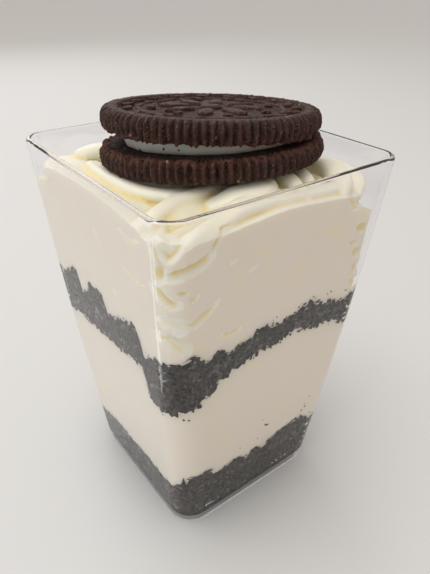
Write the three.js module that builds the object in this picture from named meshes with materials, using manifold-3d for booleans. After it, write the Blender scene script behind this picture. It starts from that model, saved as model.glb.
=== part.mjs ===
// A layered dessert in a clear square cup: chocolate biscuit crumbs and whipped cream in turn,
// folded cream on top, and a chocolate sandwich biscuit resting on it.
// Millimetres, +Z up. The origin is the middle of the cup's base. The face towards -Y and the
// face towards -X meet at the corner that is nearest when the cup is seen from the front left.

import * as THREE from 'three';
import { mergeVertices } from 'three/addons/utils/BufferGeometryUtils.js';
import Module from 'manifold-3d';

// ---------------------------------------------------------------- driving dimensions

const GAP = 0.3; // room between neighbouring solids

const CUP = {
  topSide: 56, // outside width at the rim
  baseSide: 42.2, // outside width at the base
  height: 85,
  wall: 1.1,
  rimCorner: 4.5, // outside corner radius at the rim
  baseCorner: 6, // and at the base
  bulge: 0.5, // how far the walls bow outwards at half height
  floorTop: 3.4,
  footRing: 2.6, // width of the ring that the cup stands on
  footDepth: 1.8, // depth of the recess inside that ring
  edge: 0.4, // rounding of the rim and of the foot
};

// Heights of the layers. A swell lifts or lowers an edge by `rise`, at the place `at` on its way
// round the cup. Places are counted in sides: 0 to 1 is the face towards -Y, 1 to 2 the face
// towards +X, 2 to 3 the face towards +Y and 3 to 4 the face towards -X.
const LAYER_EDGES = {
  crumbBaseTop: {
    level: 15.2,
    swells: [
      { at: 0.05, wide: 0.14, rise: 2.4 },
      { at: 0.76, wide: 0.16, rise: 2.4 },
      { at: 1.45, wide: 0.2, rise: 2.2 },
      { at: 2.3, wide: 0.25, rise: -1.8 },
      { at: 3.08, wide: 0.3, rise: -4.2 },
      { at: 3.65, wide: 0.3, rise: -1.6 },
    ],
  },
  crumbMiddleBottom: {
    level: 46.4,
    swells: [
      { at: 3.98, wide: 0.16, rise: -5.8 },
      { at: 0.56, wide: 0.22, rise: 3 },
      { at: 1.05, wide: 0.12, rise: -1.8 },
      { at: 1.7, wide: 0.2, rise: -2.4 },
      { at: 2.4, wide: 0.25, rise: 1.8 },
      { at: 3.15, wide: 0.2, rise: -2.2 },
      { at: 3.72, wide: 0.08, rise: 1.8 },
    ],
  },
  crumbMiddleTop: {
    level: 54.6,
    swells: [
      { at: 0.02, wide: 0.07, rise: 1.2 },
      { at: 0.2, wide: 0.06, rise: -1.6 },
      { at: 0.6, wide: 0.16, rise: 1.5 },
      { at: 0.9, wide: 0.08, rise: -1.8 },
      { at: 1.35, wide: 0.12, rise: 2 },
      { at: 1.75, wide: 0.1, rise: -1.9 },
      { at: 2.25, wide: 0.14, rise: 2.3 },
      { at: 2.65, wide: 0.1, rise: -1.4 },
      { at: 3.25, wide: 0.08, rise: 3 },
      { at: 3.46, wide: 0.08, rise: 3 },
      { at: 3.74, wide: 0.05, rise: 2.6 },
      { at: 3.82, wide: 0.04, rise: -2.8 },
    ],
  },
  creamTop: {
    level: 77.4,
    swells: [
      { at: 0, wide: 0.08, rise: -1.6 },
      { at: 0.3, wide: 0.28, rise: 1.8 },
      { at: 0.95, wide: 0.15, rise: -3.6 },
      { at: 2, wide: 0.3, rise: -2 },
      { at: 3.6, wide: 0.32, rise: 3.6 },
    ],
  },
};

// The upper cream is heaped in the middle: its height there, how far from the axis the heap
// stays level, and where it has run out to the height by the wall. A trough runs round between
// the heap and the wall, for the folds to lie in. No cream stands higher than `limit`.
const CREAM_HEAP = { height: 84.6, level: 18, runOut: 26, trough: 3.4, limit: 84 };

// Folds of cream on top, each a soft stroke along a bent path: its start, its middle and its end,
// then half its width and half its height.
const TOP_FOLDS = [
  { path: [[-16, 24, 78.6], [-30, 6, 80.6], [-23, -17, 81]], half: [4.4, 2.6] },
  { path: [[-8, 22, 81], [-21.5, 4, 82.4], [-9, -13, 83]], half: [3.4, 2.4] },
  { path: [[-27, -20.5, 80], [-17, -16, 82.8], [-5, -13.5, 83.4]], half: [2, 2.6] },
  { path: [[-28, -25.4, 77], [-12, -26.4, 81.6], [16, -26, 79]], half: [2.9, 2.8] },
  { path: [[-9, -18, 81.4], [-3, -24, 83.4], [1.5, -18.5, 83]], half: [2.9, 2.4] },
  { path: [[0.5, -21.5, 81.4], [6.5, -24, 83.2], [10.5, -17, 82.4]], half: [2.7, 2.4] },
  { path: [[9.5, -22.5, 79.4], [17.5, -21, 81.4], [22.5, -8.5, 79.8]], half: [2.8, 2.6] },
  { path: [[20, -13, 78], [29, 1, 79.6], [20, 14, 78.6]], half: [3.6, 2.6] },
];

// Folds on the sides that face away: strokes set in a row, each lying over the next.
const BACK_FOLDS = {
  count: 4,
  firstAngle: 62,
  lastAngle: 116,
  reach: [18, 31, 22], // distance of the start, middle and end from the cup's axis
  fan: 34, // degrees from the start to the end of a stroke
  height: 78.4,
  half: [3.2, 2.6],
};

// Creases where the cream stands off the clear wall: face, place along it, height, half length,
// half width, depth and slant in degrees.
const CREASES = [
  { side: 0, along: -22.6, up: 75.2, half: [5.6, 1.1], deep: 2.4, slant: 8 },
  { side: 0, along: -17.3, up: 79, half: [2.6, 1], deep: 1.8, slant: 75 },
  { side: 0, along: -23.2, up: 71.4, half: [3.6, 1], deep: 2, slant: -35 },
  { side: 0, along: -20.4, up: 64.2, half: [5.4, 1.1], deep: 2, slant: 24 },
  { side: 0, along: -23.4, up: 60.2, half: [3.8, 1], deep: 1.6, slant: -30 },
  { side: 0, along: 18.6, up: 73.6, half: [3.4, 1.1], deep: 2, slant: 50 },
  { side: 0, along: 21.8, up: 67, half: [3.2, 1.1], deep: 1.8, slant: 20 },
  { side: 0, along: 22.4, up: 60.6, half: [2.8, 1], deep: 1.6, slant: -15 },
  { side: 1, along: -12, up: 70, half: [5, 1], deep: 1.8, slant: -25 },
  { side: 1, along: 9, up: 64.5, half: [5.5, 0.9], deep: 1.8, slant: 30 },
  { side: 2, along: -10, up: 69, half: [5, 1], deep: 1.8, slant: 20 },
  { side: 2, along: 13, up: 63, half: [4.5, 0.9], deep: 1.6, slant: -28 },
  { side: 3, along: 10.6, up: 69.2, half: [4.2, 0.8], deep: 1.4, slant: 20 },
  { side: 3, along: -2.4, up: 71, half: [3, 0.7], deep: 1.2, slant: 60 },
];

// Rounded hollows where the cream stands off a corner of the cup: the valley beside the fold at
// the nearest corner, and a row up the corner between the faces towards -Y and +X.
const CORNER_HOLLOWS = [
  { at: [-25.6, -23.6, 81.6], half: [5.4, 2.2, 2.6], turn: 20 },
  { at: [25.4, -25.4, 60.5], half: [3.4, 3.4, 2.6], turn: 0 },
  { at: [26, -26, 66], half: [4, 4, 3.2], turn: 0 },
  { at: [26.2, -26.2, 72], half: [4.6, 4.6, 3.6], turn: 0 },
];

const BISCUIT = {
  thickness: 4.25, // of one wafer
  flutes: 90,
  fluteDepth: 0.75,
  rimInside: 18.4, // inner edge of the plain band round the stamped face
  sunk: 0.55, // depth of the field inside that band
  fillingRadius: 17.6,
  // Each wafer: the middle of its flat face, how that face leans, its radius over the flutes,
  // and the radius where the flutes run out on its stamped face.
  lower: { at: [1.5, -0.2, 86.4], lean: [0.014, 0.108], radius: 22.5, faceRadius: 20.6 },
  upper: { at: [1.7, 0.1, 88.4], lean: [0.068, 0.078], radius: 21.8, faceRadius: 20.4 },
};

// Raised pattern on the stamped face, from the outside in: slanted leaves, a thin ring,
// eight petals with dots between them, and a button.
const STAMP = {
  root: 1.5, // depth from which the pattern stands up, measured from the plain band's top
  below: 0.1, // and how far under that top it ends
  leaves: { count: 18, reach: 16.7, half: [1.75, 0.72], slant: 38 },
  ring: { radius: 14.4, width: 0.6 },
  petals: { count: 8, reach: 7.4, half: [3.4, 1.35] },
  dots: { count: 8, reach: 11.9, radius: 0.95 },
  button: { radius: 2.2 },
};

// How finely the forms are divided.
const SIDE_STEPS = 11; // along a side of a layer's outline
const ARC_STEPS = 4; // round its corner
const CUP_ARC_STEPS = 5; // round a corner of the cup
const LAYER_SHARES = [0.8, 1]; // rings of a layer's face, as shares of the way out to the wall
const HEAP_SHARES = [1.04, 0.93, 0.82, 0.7, 0.5]; // rings of the heap, which is cut to the cup's room
const STROKE_STEPS = 8; // along a fold of cream
const STROKE_SIDES = 7; // and round it
const FILLING_STEPS = 40; // round the filling

// ---------------------------------------------------------------- materials

const paint = (color, roughness, extra = {}) =>
  new THREE.MeshStandardMaterial({ color, roughness, metalness: 0, ...extra });

const MATERIALS = {
  clearPlastic: paint('#e6e6ea', 0.12, { transparent: true, opacity: 0.3 }),
  cream: paint('#f0eada', 0.6),
  crumbs: paint('#3f3937', 0.95),
  biscuit: paint('#3a2622', 0.85),
  filling: paint('#c9c8bf', 0.7),
};

// ---------------------------------------------------------------- closed skins

const wasm = await Module();
wasm.setup();

// A closed skin through rings with the same number of points, from a middle point to another.
function skin(first, rings, last) {
  const count = rings[0].length;
  const points = [first, ...rings.flat(), last];
  const start = (ring) => 1 + ring * count;
  const end = points.length - 1;
  const faces = [];
  for (let j = 0; j < count; j += 1) {
    const next = (j + 1) % count;
    faces.push(0, start(0) + next, start(0) + j);
    for (let ring = 0; ring < rings.length - 1; ring += 1) {
      const a = start(ring);
      const b = start(ring + 1);
      faces.push(a + j, a + next, b + next, a + j, b + next, b + j);
    }
    faces.push(end, start(rings.length - 1) + j, start(rings.length - 1) + next);
  }
  const geometry = new THREE.BufferGeometry();
  geometry.setAttribute('position', new THREE.Float32BufferAttribute(points.flat(), 3));
  geometry.setIndex(faces);
  return geometry;
}

function toSolid(geometry) {
  const bare = geometry.clone();
  bare.deleteAttribute('normal');
  bare.deleteAttribute('uv');
  const merged = mergeVertices(bare, 1e-4);
  return new wasm.Manifold(new wasm.Mesh({
    numProp: 3,
    vertProperties: new Float32Array(merged.attributes.position.array),
    triVerts: new Uint32Array(merged.index.array),
  }));
}

function toGeometry(solid) {
  const mesh = solid.getMesh();
  const geometry = new THREE.BufferGeometry();
  geometry.setAttribute('position', new THREE.Float32BufferAttribute(mesh.vertProperties, 3));
  geometry.setIndex(new THREE.Uint32BufferAttribute(mesh.triVerts, 1));
  return geometry;
}

// ---------------------------------------------------------------- the cup's form

const radians = THREE.MathUtils.degToRad;
const mix = THREE.MathUtils.lerp;
const ease = THREE.MathUtils.smoothstep;

function outerHalf(z) {
  const share = z / CUP.height;
  return mix(CUP.baseSide, CUP.topSide, share) / 2 + CUP.bulge * Math.sin(Math.PI * share);
}

function outerCorner(z) {
  return mix(CUP.baseCorner, CUP.rimCorner, z / CUP.height);
}

// Point number `index` of a rounded square, anticlockwise from the corner at -X -Y.
function planPoint(index, half, corner, sideSteps, arcSteps) {
  const steps = sideSteps + arcSteps;
  const side = Math.floor(index / steps);
  const step = index % steps;
  const straight = half - corner;
  const point = new THREE.Vector2(-straight + (2 * straight * step) / sideSteps, -half);
  if (step > sideSteps) {
    const angle = (Math.PI / 2) * ((step - sideSteps) / arcSteps - 1);
    point.set(straight + corner * Math.cos(angle), -straight + corner * Math.sin(angle));
  }
  return point.rotateAround(new THREE.Vector2(), (side * Math.PI) / 2);
}

function cupRing(inset, z) {
  const half = outerHalf(z) - inset;
  const corner = Math.max(outerCorner(z) - inset, 1);
  const ring = [];
  for (let index = 0; index < 4 * (1 + CUP_ARC_STEPS); index += 1) {
    const point = planPoint(index, half, corner, 1, CUP_ARC_STEPS);
    ring.push([point.x, point.y, z]);
  }
  return ring;
}

function makeCup() {
  const { wall, height, edge, floorTop, footRing, footDepth } = CUP;
  const levels = [0.2, 0.4, 0.6, 0.8].map((share) => share * height);
  const outside = levels.map((z) => cupRing(0, z));
  const inside = levels.toReversed().map((z) => cupRing(wall, z));
  const rings = [
    cupRing(footRing, footDepth),
    cupRing(footRing - edge, 0),
    cupRing(edge, 0),
    cupRing(0, edge),
    ...outside,
    cupRing(0, height - edge),
    cupRing(edge, height),
    cupRing(wall - edge, height),
    cupRing(wall, height - edge),
    ...inside,
    cupRing(wall, floorTop + 1),
    cupRing(wall + 1, floorTop),
  ];
  return skin([0, 0, footDepth], rings, [0, 0, floorTop]);
}

// ---------------------------------------------------------------- layers

// Place of a point on its way round the cup, from 0 to 4.
function placeRound(x, y) {
  const reach = Math.max(Math.abs(x), Math.abs(y));
  if (-y >= reach) return (x / reach + 1) / 2;
  if (x >= reach) return 1 + (y / reach + 1) / 2;
  if (y >= reach) return 2 + (-x / reach + 1) / 2;
  return 3 + (-y / reach + 1) / 2;
}

function edgeHeight(edge, place) {
  let height = edge.level;
  for (const swell of edge.swells) {
    const away = ((place - swell.at + 6) % 4) - 2;
    height += swell.rise * Math.exp(-((away / swell.wide) ** 2));
  }
  return height;
}

// One ring of a layer's face: at share 1 it lies by the wall, and it runs out flat at the middle.
function layerRing(edge, share, middle, raise) {
  const ring = [];
  const inset = CUP.wall + GAP;
  const levelHalf = outerHalf(edge.level) - inset;
  const levelCorner = outerCorner(edge.level) - inset;
  for (let index = 0; index < 4 * (SIDE_STEPS + ARC_STEPS); index += 1) {
    const guess = planPoint(index, levelHalf, levelCorner, SIDE_STEPS, ARC_STEPS);
    const height = edgeHeight(edge, placeRound(guess.x, guess.y));
    const half = outerHalf(height) - inset;
    const corner = outerCorner(height) - inset;
    const point = planPoint(index, half, corner, SIDE_STEPS, ARC_STEPS).multiplyScalar(share);
    ring.push([point.x, point.y, mix(middle, height, ease(share, 0, 1)) + raise]);
  }
  return ring;
}

// A layer between two edges, each with the height of its middle.
function makeLayer(bottom, top) {
  const under = LAYER_SHARES.map((share) => {
    return layerRing(bottom.edge, share, bottom.middle, bottom.raise);
  });
  const over = LAYER_SHARES.toReversed().map((share) => {
    return layerRing(top.edge, share, top.middle, top.raise);
  });
  const underMiddle = [0, 0, bottom.middle + bottom.raise];
  const overMiddle = [0, 0, top.middle + top.raise];
  return skin(underMiddle, [...under, ...over], overMiddle);
}

const flat = (level) => ({ edge: { level, swells: [] }, middle: level, raise: 0 });

const face = (edge, raise) => ({ edge, middle: edge.level, raise });

// ---------------------------------------------------------------- the upper cream

// The largest closed skin of a solid, which leaves out loose scraps and fills sealed hollows.
function outerBody(solid) {
  const skins = solid.decompose();
  return skins.reduce((best, next) => (next.volume() > best.volume() ? next : best));
}

// A soft stroke along a bent path, widest in the middle and closed at both ends.
function stroke({ path, half }) {
  const curve = new THREE.QuadraticBezierCurve3(...path.map((point) => new THREE.Vector3(...point)));
  const rings = [];
  for (let step = 1; step < STROKE_STEPS; step += 1) {
    const share = step / STROKE_STEPS;
    const middle = curve.getPoint(share);
    const along = curve.getTangent(share);
    const across = new THREE.Vector3(-along.y, along.x, 0).normalize();
    const up = new THREE.Vector3().crossVectors(along, across);
    const full = Math.sin(Math.PI * share) ** 0.5;
    const ring = [];
    for (let index = 0; index < STROKE_SIDES; index += 1) {
      const angle = (2 * Math.PI * index) / STROKE_SIDES;
      const point = middle.clone();
      point.addScaledVector(across, half[0] * full * Math.cos(angle));
      point.addScaledVector(up, half[1] * full * Math.sin(angle));
      ring.push(point.toArray());
    }
    rings.push(ring);
  }
  return toSolid(skin(path[0], rings, path[2]));
}

function backFold(number) {
  const { count, firstAngle, lastAngle, reach, fan, height, half } = BACK_FOLDS;
  const angle = mix(firstAngle, lastAngle, number / (count - 1));
  const lift = 0.7 * Math.sin(number * 2.4);
  const path = reach.map((distance, step) => {
    const turn = radians(angle + fan * (step / 2 - 0.5));
    return [distance * Math.cos(turn), distance * Math.sin(turn), height + lift];
  });
  return stroke({ path, half });
}

// A long rounded hollow, for cutting.
function hollow([length, width, depth]) {
  const geometry = new THREE.SphereGeometry(1, 8, 6);
  geometry.rotateX(Math.PI / 2);
  geometry.scale(length, width, depth);
  return geometry;
}

function cornerHollow({ at, half, turn }) {
  const geometry = hollow(half);
  geometry.rotateZ(radians(turn));
  geometry.translate(...at);
  return toSolid(geometry);
}

function crease({ side, along, up, half, deep, slant }) {
  const geometry = hollow([half[0], deep, half[1]]);
  geometry.rotateY(-radians(slant));
  geometry.translate(along, -(outerHalf(up) - CUP.wall - GAP), up);
  geometry.rotateZ((side * Math.PI) / 2);
  return toSolid(geometry);
}

// The tilted seat that the lower biscuit leaves in the cream, with a gap all round it.
function biscuitSeat() {
  const { thickness, lower } = BISCUIT;
  const { radius, faceRadius } = lower;
  const height = thickness + 14;
  const profile = [
    new THREE.Vector2(0, -thickness - GAP),
    new THREE.Vector2(faceRadius + GAP, -thickness - GAP),
    new THREE.Vector2(radius + 2 * GAP, -thickness * 0.6),
    new THREE.Vector2(radius + 2 * GAP, height),
    new THREE.Vector2(0, height),
  ];
  const geometry = new THREE.LatheGeometry(profile, 48);
  geometry.rotateX(Math.PI / 2);
  geometry.applyQuaternion(leanTurn(lower.lean));
  geometry.translate(...lower.at);
  return toSolid(geometry);
}

// One ring of the upper cream's top, at a share of the way out to the wall.
function heapRing(share) {
  const { height, level, runOut, trough } = CREAM_HEAP;
  return layerRing(LAYER_EDGES.creamTop, 1, height, 0).map(([x, y, wallHeight]) => {
    const fall = ease(Math.hypot(x, y) * share, level, runOut);
    const dip = trough * fall * ease(1 - share, 0, 0.1);
    return [x * share, y * share, mix(height, wallHeight, fall) - dip];
  });
}

function makeUpperCream() {
  const under = face(LAYER_EDGES.crumbMiddleTop, GAP);
  const foot = flat(CUP.height / 2);
  const rings = [layerRing(foot.edge, HEAP_SHARES[0], foot.middle, 0), ...HEAP_SHARES.map(heapRing)];
  const block = toSolid(skin([0, 0, foot.middle], rings, [0, 0, CREAM_HEAP.height]));
  const folds = TOP_FOLDS.map(stroke);
  for (let number = 0; number < BACK_FOLDS.count; number += 1) {
    folds.push(backFold(number));
  }
  const room = toSolid(makeLayer(under, flat(CREAM_HEAP.limit)));
  let cream = folds.reduce((solid, fold) => solid.add(fold), block);
  cream = cream.intersect(room);
  const cuts = [...CORNER_HOLLOWS.map(cornerHollow), ...CREASES.map(crease)];
  cream = cuts.reduce((solid, cut) => solid.subtract(cut), cream);
  return toGeometry(outerBody(cream.subtract(biscuitSeat())));
}

// ---------------------------------------------------------------- the sandwich biscuit

function leanTurn(lean) {
  const normal = new THREE.Vector3(lean[0], lean[1], 1).normalize();
  return new THREE.Quaternion().setFromUnitVectors(new THREE.Vector3(0, 0, 1), normal);
}

function flutedRing(radius, depth, z) {
  const ring = [];
  for (let index = 0; index < 2 * BISCUIT.flutes; index += 1) {
    const angle = (Math.PI * index) / BISCUIT.flutes;
    const reach = radius - (index % 2) * depth;
    ring.push([reach * Math.cos(angle), reach * Math.sin(angle), z]);
  }
  return ring;
}

// One wafer, its flat face at z = 0 and its stamped face above.
function makeWafer({ radius, faceRadius }) {
  const { thickness, fluteDepth } = BISCUIT;
  const rings = [
    flutedRing(radius, fluteDepth, 0),
    flutedRing(radius, fluteDepth, thickness * 0.55),
    flutedRing(mix(faceRadius, radius, 0.55), fluteDepth, thickness * 0.88),
    flutedRing(faceRadius - 0.3, 0, thickness),
  ];
  return skin([0, 0, 0], rings, [0, 0, thickness]);
}

// A flat-topped form with a rounded outline that stands on the sunk field.
function stampForm(halfLength, halfWidth, steps) {
  const outline = new THREE.Shape();
  outline.absellipse(0, 0, halfLength, halfWidth, 0, 2 * Math.PI);
  const options = { depth: STAMP.root - STAMP.below, bevelEnabled: false, curveSegments: steps };
  return new THREE.ExtrudeGeometry(outline, options);
}

function stampRow({ count, reach }, form, slant, offset) {
  const row = [];
  for (let number = 0; number < count; number += 1) {
    const angle = (2 * Math.PI * (number + offset)) / count;
    const geometry = form.clone();
    geometry.rotateZ(radians(slant));
    geometry.translate(reach, 0, BISCUIT.thickness - STAMP.root);
    geometry.rotateZ(angle);
    row.push(toSolid(geometry));
  }
  return row;
}

function stampRing(inside, outside, low, high, steps) {
  const profile = [
    new THREE.Vector2(inside, low),
    new THREE.Vector2(outside, low),
    new THREE.Vector2(outside, high),
    new THREE.Vector2(inside, high),
    new THREE.Vector2(inside, low),
  ];
  const geometry = new THREE.LatheGeometry(profile, steps);
  geometry.rotateX(Math.PI / 2);
  return toSolid(geometry);
}

function makeStampedWafer() {
  const { thickness, rimInside, sunk } = BISCUIT;
  const { leaves, ring, petals, dots, button } = STAMP;
  const wafer = toSolid(makeWafer(BISCUIT.upper));
  const field = new THREE.CylinderGeometry(rimInside, rimInside, 2 * sunk, 40);
  field.rotateX(Math.PI / 2);
  field.translate(0, 0, thickness);
  const low = thickness - STAMP.root;
  const high = thickness - STAMP.below;
  const buttonForm = stampForm(button.radius, button.radius, 5);
  buttonForm.translate(0, 0, low);
  const forms = [
    ...stampRow(leaves, stampForm(...leaves.half, 3), 90 - leaves.slant, 0),
    stampRing(ring.radius - ring.width / 2, ring.radius + ring.width / 2, low, high, 32),
    ...stampRow(petals, stampForm(...petals.half, 4), 0, 0),
    ...stampRow(dots, stampForm(dots.radius, dots.radius, 3), 0, 0.5),
    toSolid(buttonForm),
  ];
  return toGeometry(forms.reduce((solid, form) => solid.add(form), wafer.subtract(toSolid(field))));
}

// Height of a wafer's flat face above a place in plan.
function flatFaceHeight(wafer, x, y) {
  return wafer.at[2] - wafer.lean[0] * (x - wafer.at[0]) - wafer.lean[1] * (y - wafer.at[1]);
}

// The filling fits the slightly wedge-shaped room between the two flat faces.
function makeFilling() {
  const { lower, upper, fillingRadius } = BISCUIT;
  const middle = [(lower.at[0] + upper.at[0]) / 2, (lower.at[1] + upper.at[1]) / 2];
  const height = (x, y, share) => {
    const bottom = flatFaceHeight(lower, x, y) + GAP;
    const top = flatFaceHeight(upper, x, y) - GAP;
    return mix(bottom, top, share);
  };
  const ring = (radius, share) => {
    const points = [];
    for (let index = 0; index < FILLING_STEPS; index += 1) {
      const angle = (2 * Math.PI * index) / FILLING_STEPS;
      const reach = radius + 0.15 * Math.sin(angle * 7 + 1) + 0.1 * Math.sin(angle * 11);
      const x = middle[0] + reach * Math.cos(angle);
      const y = middle[1] + reach * Math.sin(angle);
      points.push([x, y, height(x, y, share)]);
    }
    return points;
  };
  const rings = [
    ring(fillingRadius - 0.3, 0),
    ring(fillingRadius, 0.3),
    ring(fillingRadius, 0.75),
    ring(fillingRadius - 0.2, 1),
  ];
  return skin([...middle, height(...middle, 0)], rings, [...middle, height(...middle, 1)]);
}

// ---------------------------------------------------------------- the whole dessert

const dessert = new THREE.Group();
dessert.name = 'dessert_cup';

function addPart(name, geometry, material) {
  const mesh = new THREE.Mesh(geometry, material);
  mesh.name = name;
  dessert.add(mesh);
  return mesh;
}

function placeWafer(mesh, { at, lean }, upsideDown) {
  mesh.position.set(...at);
  mesh.quaternion.copy(leanTurn(lean));
  if (upsideDown) mesh.rotateX(Math.PI);
}

const edges = LAYER_EDGES;

addPart('cup', makeCup(), MATERIALS.clearPlastic);
addPart('crumb_base', makeLayer(flat(CUP.floorTop + GAP + 1), face(edges.crumbBaseTop, 0)),
  MATERIALS.crumbs);
addPart('cream_lower', makeLayer(face(edges.crumbBaseTop, GAP), face(edges.crumbMiddleBottom, 0)),
  MATERIALS.cream);
addPart('crumb_middle', makeLayer(face(edges.crumbMiddleBottom, GAP), face(edges.crumbMiddleTop, 0)),
  MATERIALS.crumbs);
addPart('cream_upper', makeUpperCream(), MATERIALS.cream);
placeWafer(addPart('wafer_lower', makeWafer(BISCUIT.lower), MATERIALS.biscuit), BISCUIT.lower, true);
addPart('cookie_filling', makeFilling(), MATERIALS.filling);
placeWafer(addPart('wafer_upper', makeStampedWafer(), MATERIALS.biscuit), BISCUIT.upper, false);

export default dessert;
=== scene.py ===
# %% [markdown]
# # A layered cream dessert in a clear cup
#
# The real thing is a square plastic cup with two bands of dark biscuit crumbs and two bands of
# whipped cream. Soft folds of cream fill the top, and a chocolate sandwich biscuit leans on them.
# The engineering model is loaded first and never changes. Each layer is then modelled again
# with the surface that the real food has, in the place of its plain solid.

# %% Load the fixed model
import math
import random

import bmesh
import bpy
import numpy as np
from mathutils import Matrix, Quaternion, Vector, noise


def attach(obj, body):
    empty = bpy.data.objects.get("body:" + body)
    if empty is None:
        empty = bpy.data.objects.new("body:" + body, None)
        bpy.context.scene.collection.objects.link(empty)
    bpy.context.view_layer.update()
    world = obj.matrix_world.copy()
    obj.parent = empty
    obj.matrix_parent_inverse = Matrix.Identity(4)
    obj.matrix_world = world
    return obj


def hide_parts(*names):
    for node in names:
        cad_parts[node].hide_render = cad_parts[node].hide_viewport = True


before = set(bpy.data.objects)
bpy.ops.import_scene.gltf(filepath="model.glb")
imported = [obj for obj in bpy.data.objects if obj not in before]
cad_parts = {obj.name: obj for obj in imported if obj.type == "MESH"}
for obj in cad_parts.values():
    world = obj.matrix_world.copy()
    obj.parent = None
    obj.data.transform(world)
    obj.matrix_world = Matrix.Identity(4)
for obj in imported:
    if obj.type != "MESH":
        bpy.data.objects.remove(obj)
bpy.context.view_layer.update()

# %% [markdown]
# ## Helpers
#
# All sizes below are in millimetres, as on a drawing, and Blender works in metres, so they are
# multiplied by `MM` where a shape is made. Blender's operators act on whatever is selected, so
# `choose` and `add` always clear the selection first.

# %% Choose pieces and apply modifiers
MM = 0.001
random.seed(7)


def choose(*pieces):
    """Selects these pieces alone; the first becomes the active one."""
    if bpy.context.object and bpy.context.object.mode != "OBJECT":
        bpy.ops.object.mode_set(mode="OBJECT")
    bpy.ops.object.select_all(action="DESELECT")
    for piece in pieces:
        piece.select_set(True)
    bpy.context.view_layer.objects.active = pieces[0]


def add(primitive, **settings):
    """Adds a primitive, which is then the only piece selected."""
    bpy.ops.object.select_all(action="DESELECT")
    primitive(**settings)
    return bpy.context.object


def apply_modifier(piece, kind, **settings):
    choose(piece)
    modifier = piece.modifiers.new(kind.lower(), kind)
    for name, value in settings.items():
        setattr(modifier, name, value)
    bpy.ops.object.modifier_apply(modifier=modifier.name)


def displace(piece, pattern, depth, mid_level=0.5):
    """Pushes the surface in and out by a texture."""
    apply_modifier(piece, "DISPLACE", texture=pattern, strength=depth * MM, mid_level=mid_level,
                   texture_coords="LOCAL")


def join(name, pieces):
    choose(*pieces)
    bpy.ops.object.join()
    pieces[0].name = pieces[0].data.name = name
    return pieces[0]


def count_faces(piece):
    piece.data.calc_loop_triangles()
    print(piece.name, "has", len(piece.data.loop_triangles), "triangles")


def smooth(piece, degrees):
    """Shades the piece smooth, apart from edges that are sharper than this."""
    choose(piece)
    bpy.ops.object.shade_smooth_by_angle(angle=math.radians(degrees))
    count_faces(piece)


def keep(piece, name, values):
    """Keeps a number for each point of the mesh, for a material to read."""
    piece.data.attributes.new(name, "FLOAT", "POINT").data.foreach_set("value", values)


def mix(a, b, share):
    return a + (b - a) * share


def ease(value, low, high):
    """0 below low, 1 above high and a smooth step between them."""
    share = min(max((value - low) / (high - low), 0), 1)
    return share * share * (3 - 2 * share)


def uneven(x, y, scale, salt):
    """Smooth random values from about -1 to 1; another salt gives another pattern."""
    return noise.noise(Vector((x * scale, y * scale, salt)))


# %% [markdown]
# Most pieces here are closed forms that change as they rise: the cup, the bands and the wafers.
# A loft would do, but a circle that is extruded again and again is the same thing done by hand.
# Each new ring is laid on the next outline. Corners keep their number in a small layer of the
# mesh, because an extrusion copies it along.

# %% Stack rings into a closed form
def lay_ring(piece, ring):
    """Moves the selected ring of corners to its place."""
    mesh = bmesh.from_edit_mesh(piece.data)
    number = mesh.verts.layers.int["number"]
    for corner in mesh.verts:
        if corner.select:
            corner.co = Vector(ring[corner[number]]) * MM
    bmesh.update_edit_mesh(piece.data)


def stack_rings(name, rings):
    piece = add(bpy.ops.mesh.primitive_circle_add, vertices=len(rings[0]), fill_type="NGON")
    piece.name = piece.data.name = name
    bpy.ops.object.mode_set(mode="EDIT")
    mesh = bmesh.from_edit_mesh(piece.data)
    number = mesh.verts.layers.int.new("number")
    for index, corner in enumerate(mesh.verts):
        corner[number] = index
    bmesh.update_edit_mesh(piece.data)
    bpy.ops.mesh.select_all(action="SELECT")
    lay_ring(piece, rings[0])
    for ring in rings[1:]:
        bpy.ops.mesh.extrude_region_move()
        lay_ring(piece, ring)
    bpy.ops.mesh.select_all(action="SELECT")
    bpy.ops.mesh.normals_make_consistent(inside=False)
    bpy.ops.object.mode_set(mode="OBJECT")
    piece.data.attributes.remove(piece.data.attributes["number"])
    return piece


# %% [markdown]
# ## Camera, floor and light
#
# The photograph looks down on the near corner of the cup from the front left. The camera's place
# and angle were worked out from the cup's rim and base, whose shape is known.
#
# The light is soft: one large lamp above, a weak cool one on the left, another behind for the
# sheen on the biscuit, and a pale warm surround that fills the shadows. The floor stays plain and
# pale. A narrow card on the floor gives the cup's near edge its bright line.

# %% Camera
PHOTO_HEIGHT = 574
FOCAL_LENGTH = 528.1  # in pixels of the photograph
SENSOR = 36.0
AZIMUTH, ELEVATION, ROLL = (math.radians(angle) for angle in (-37.57, 32.0, 0.83))
CAMERA_PLACE = Vector((-62.68, -85.69, 117.25)) * MM

back = Vector((
    math.sin(AZIMUTH) * math.cos(ELEVATION),
    -math.cos(AZIMUTH) * math.cos(ELEVATION),
    math.sin(ELEVATION),
))
level_right = Vector((0, 0, 1)).cross(back).normalized()
roll = Quaternion(back, ROLL)
right = roll @ level_right
up = back.cross(right)
camera_data = bpy.data.cameras.new("camera")
camera_data.sensor_width = SENSOR
camera_data.lens = FOCAL_LENGTH / PHOTO_HEIGHT * SENSOR
camera_data.clip_start = 0.005
camera = bpy.data.objects.new("camera", camera_data)
camera.matrix_world = Matrix.LocRotScale(
    CAMERA_PLACE, Matrix((right, up, back)).transposed().to_quaternion(), None
)
bpy.context.scene.collection.objects.link(camera)
bpy.context.scene.camera = camera
print("camera lens", round(camera_data.lens, 2), "mm")

# %% Floor
floor = add(bpy.ops.mesh.primitive_plane_add, size=8)
floor.name = "floor"


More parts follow.
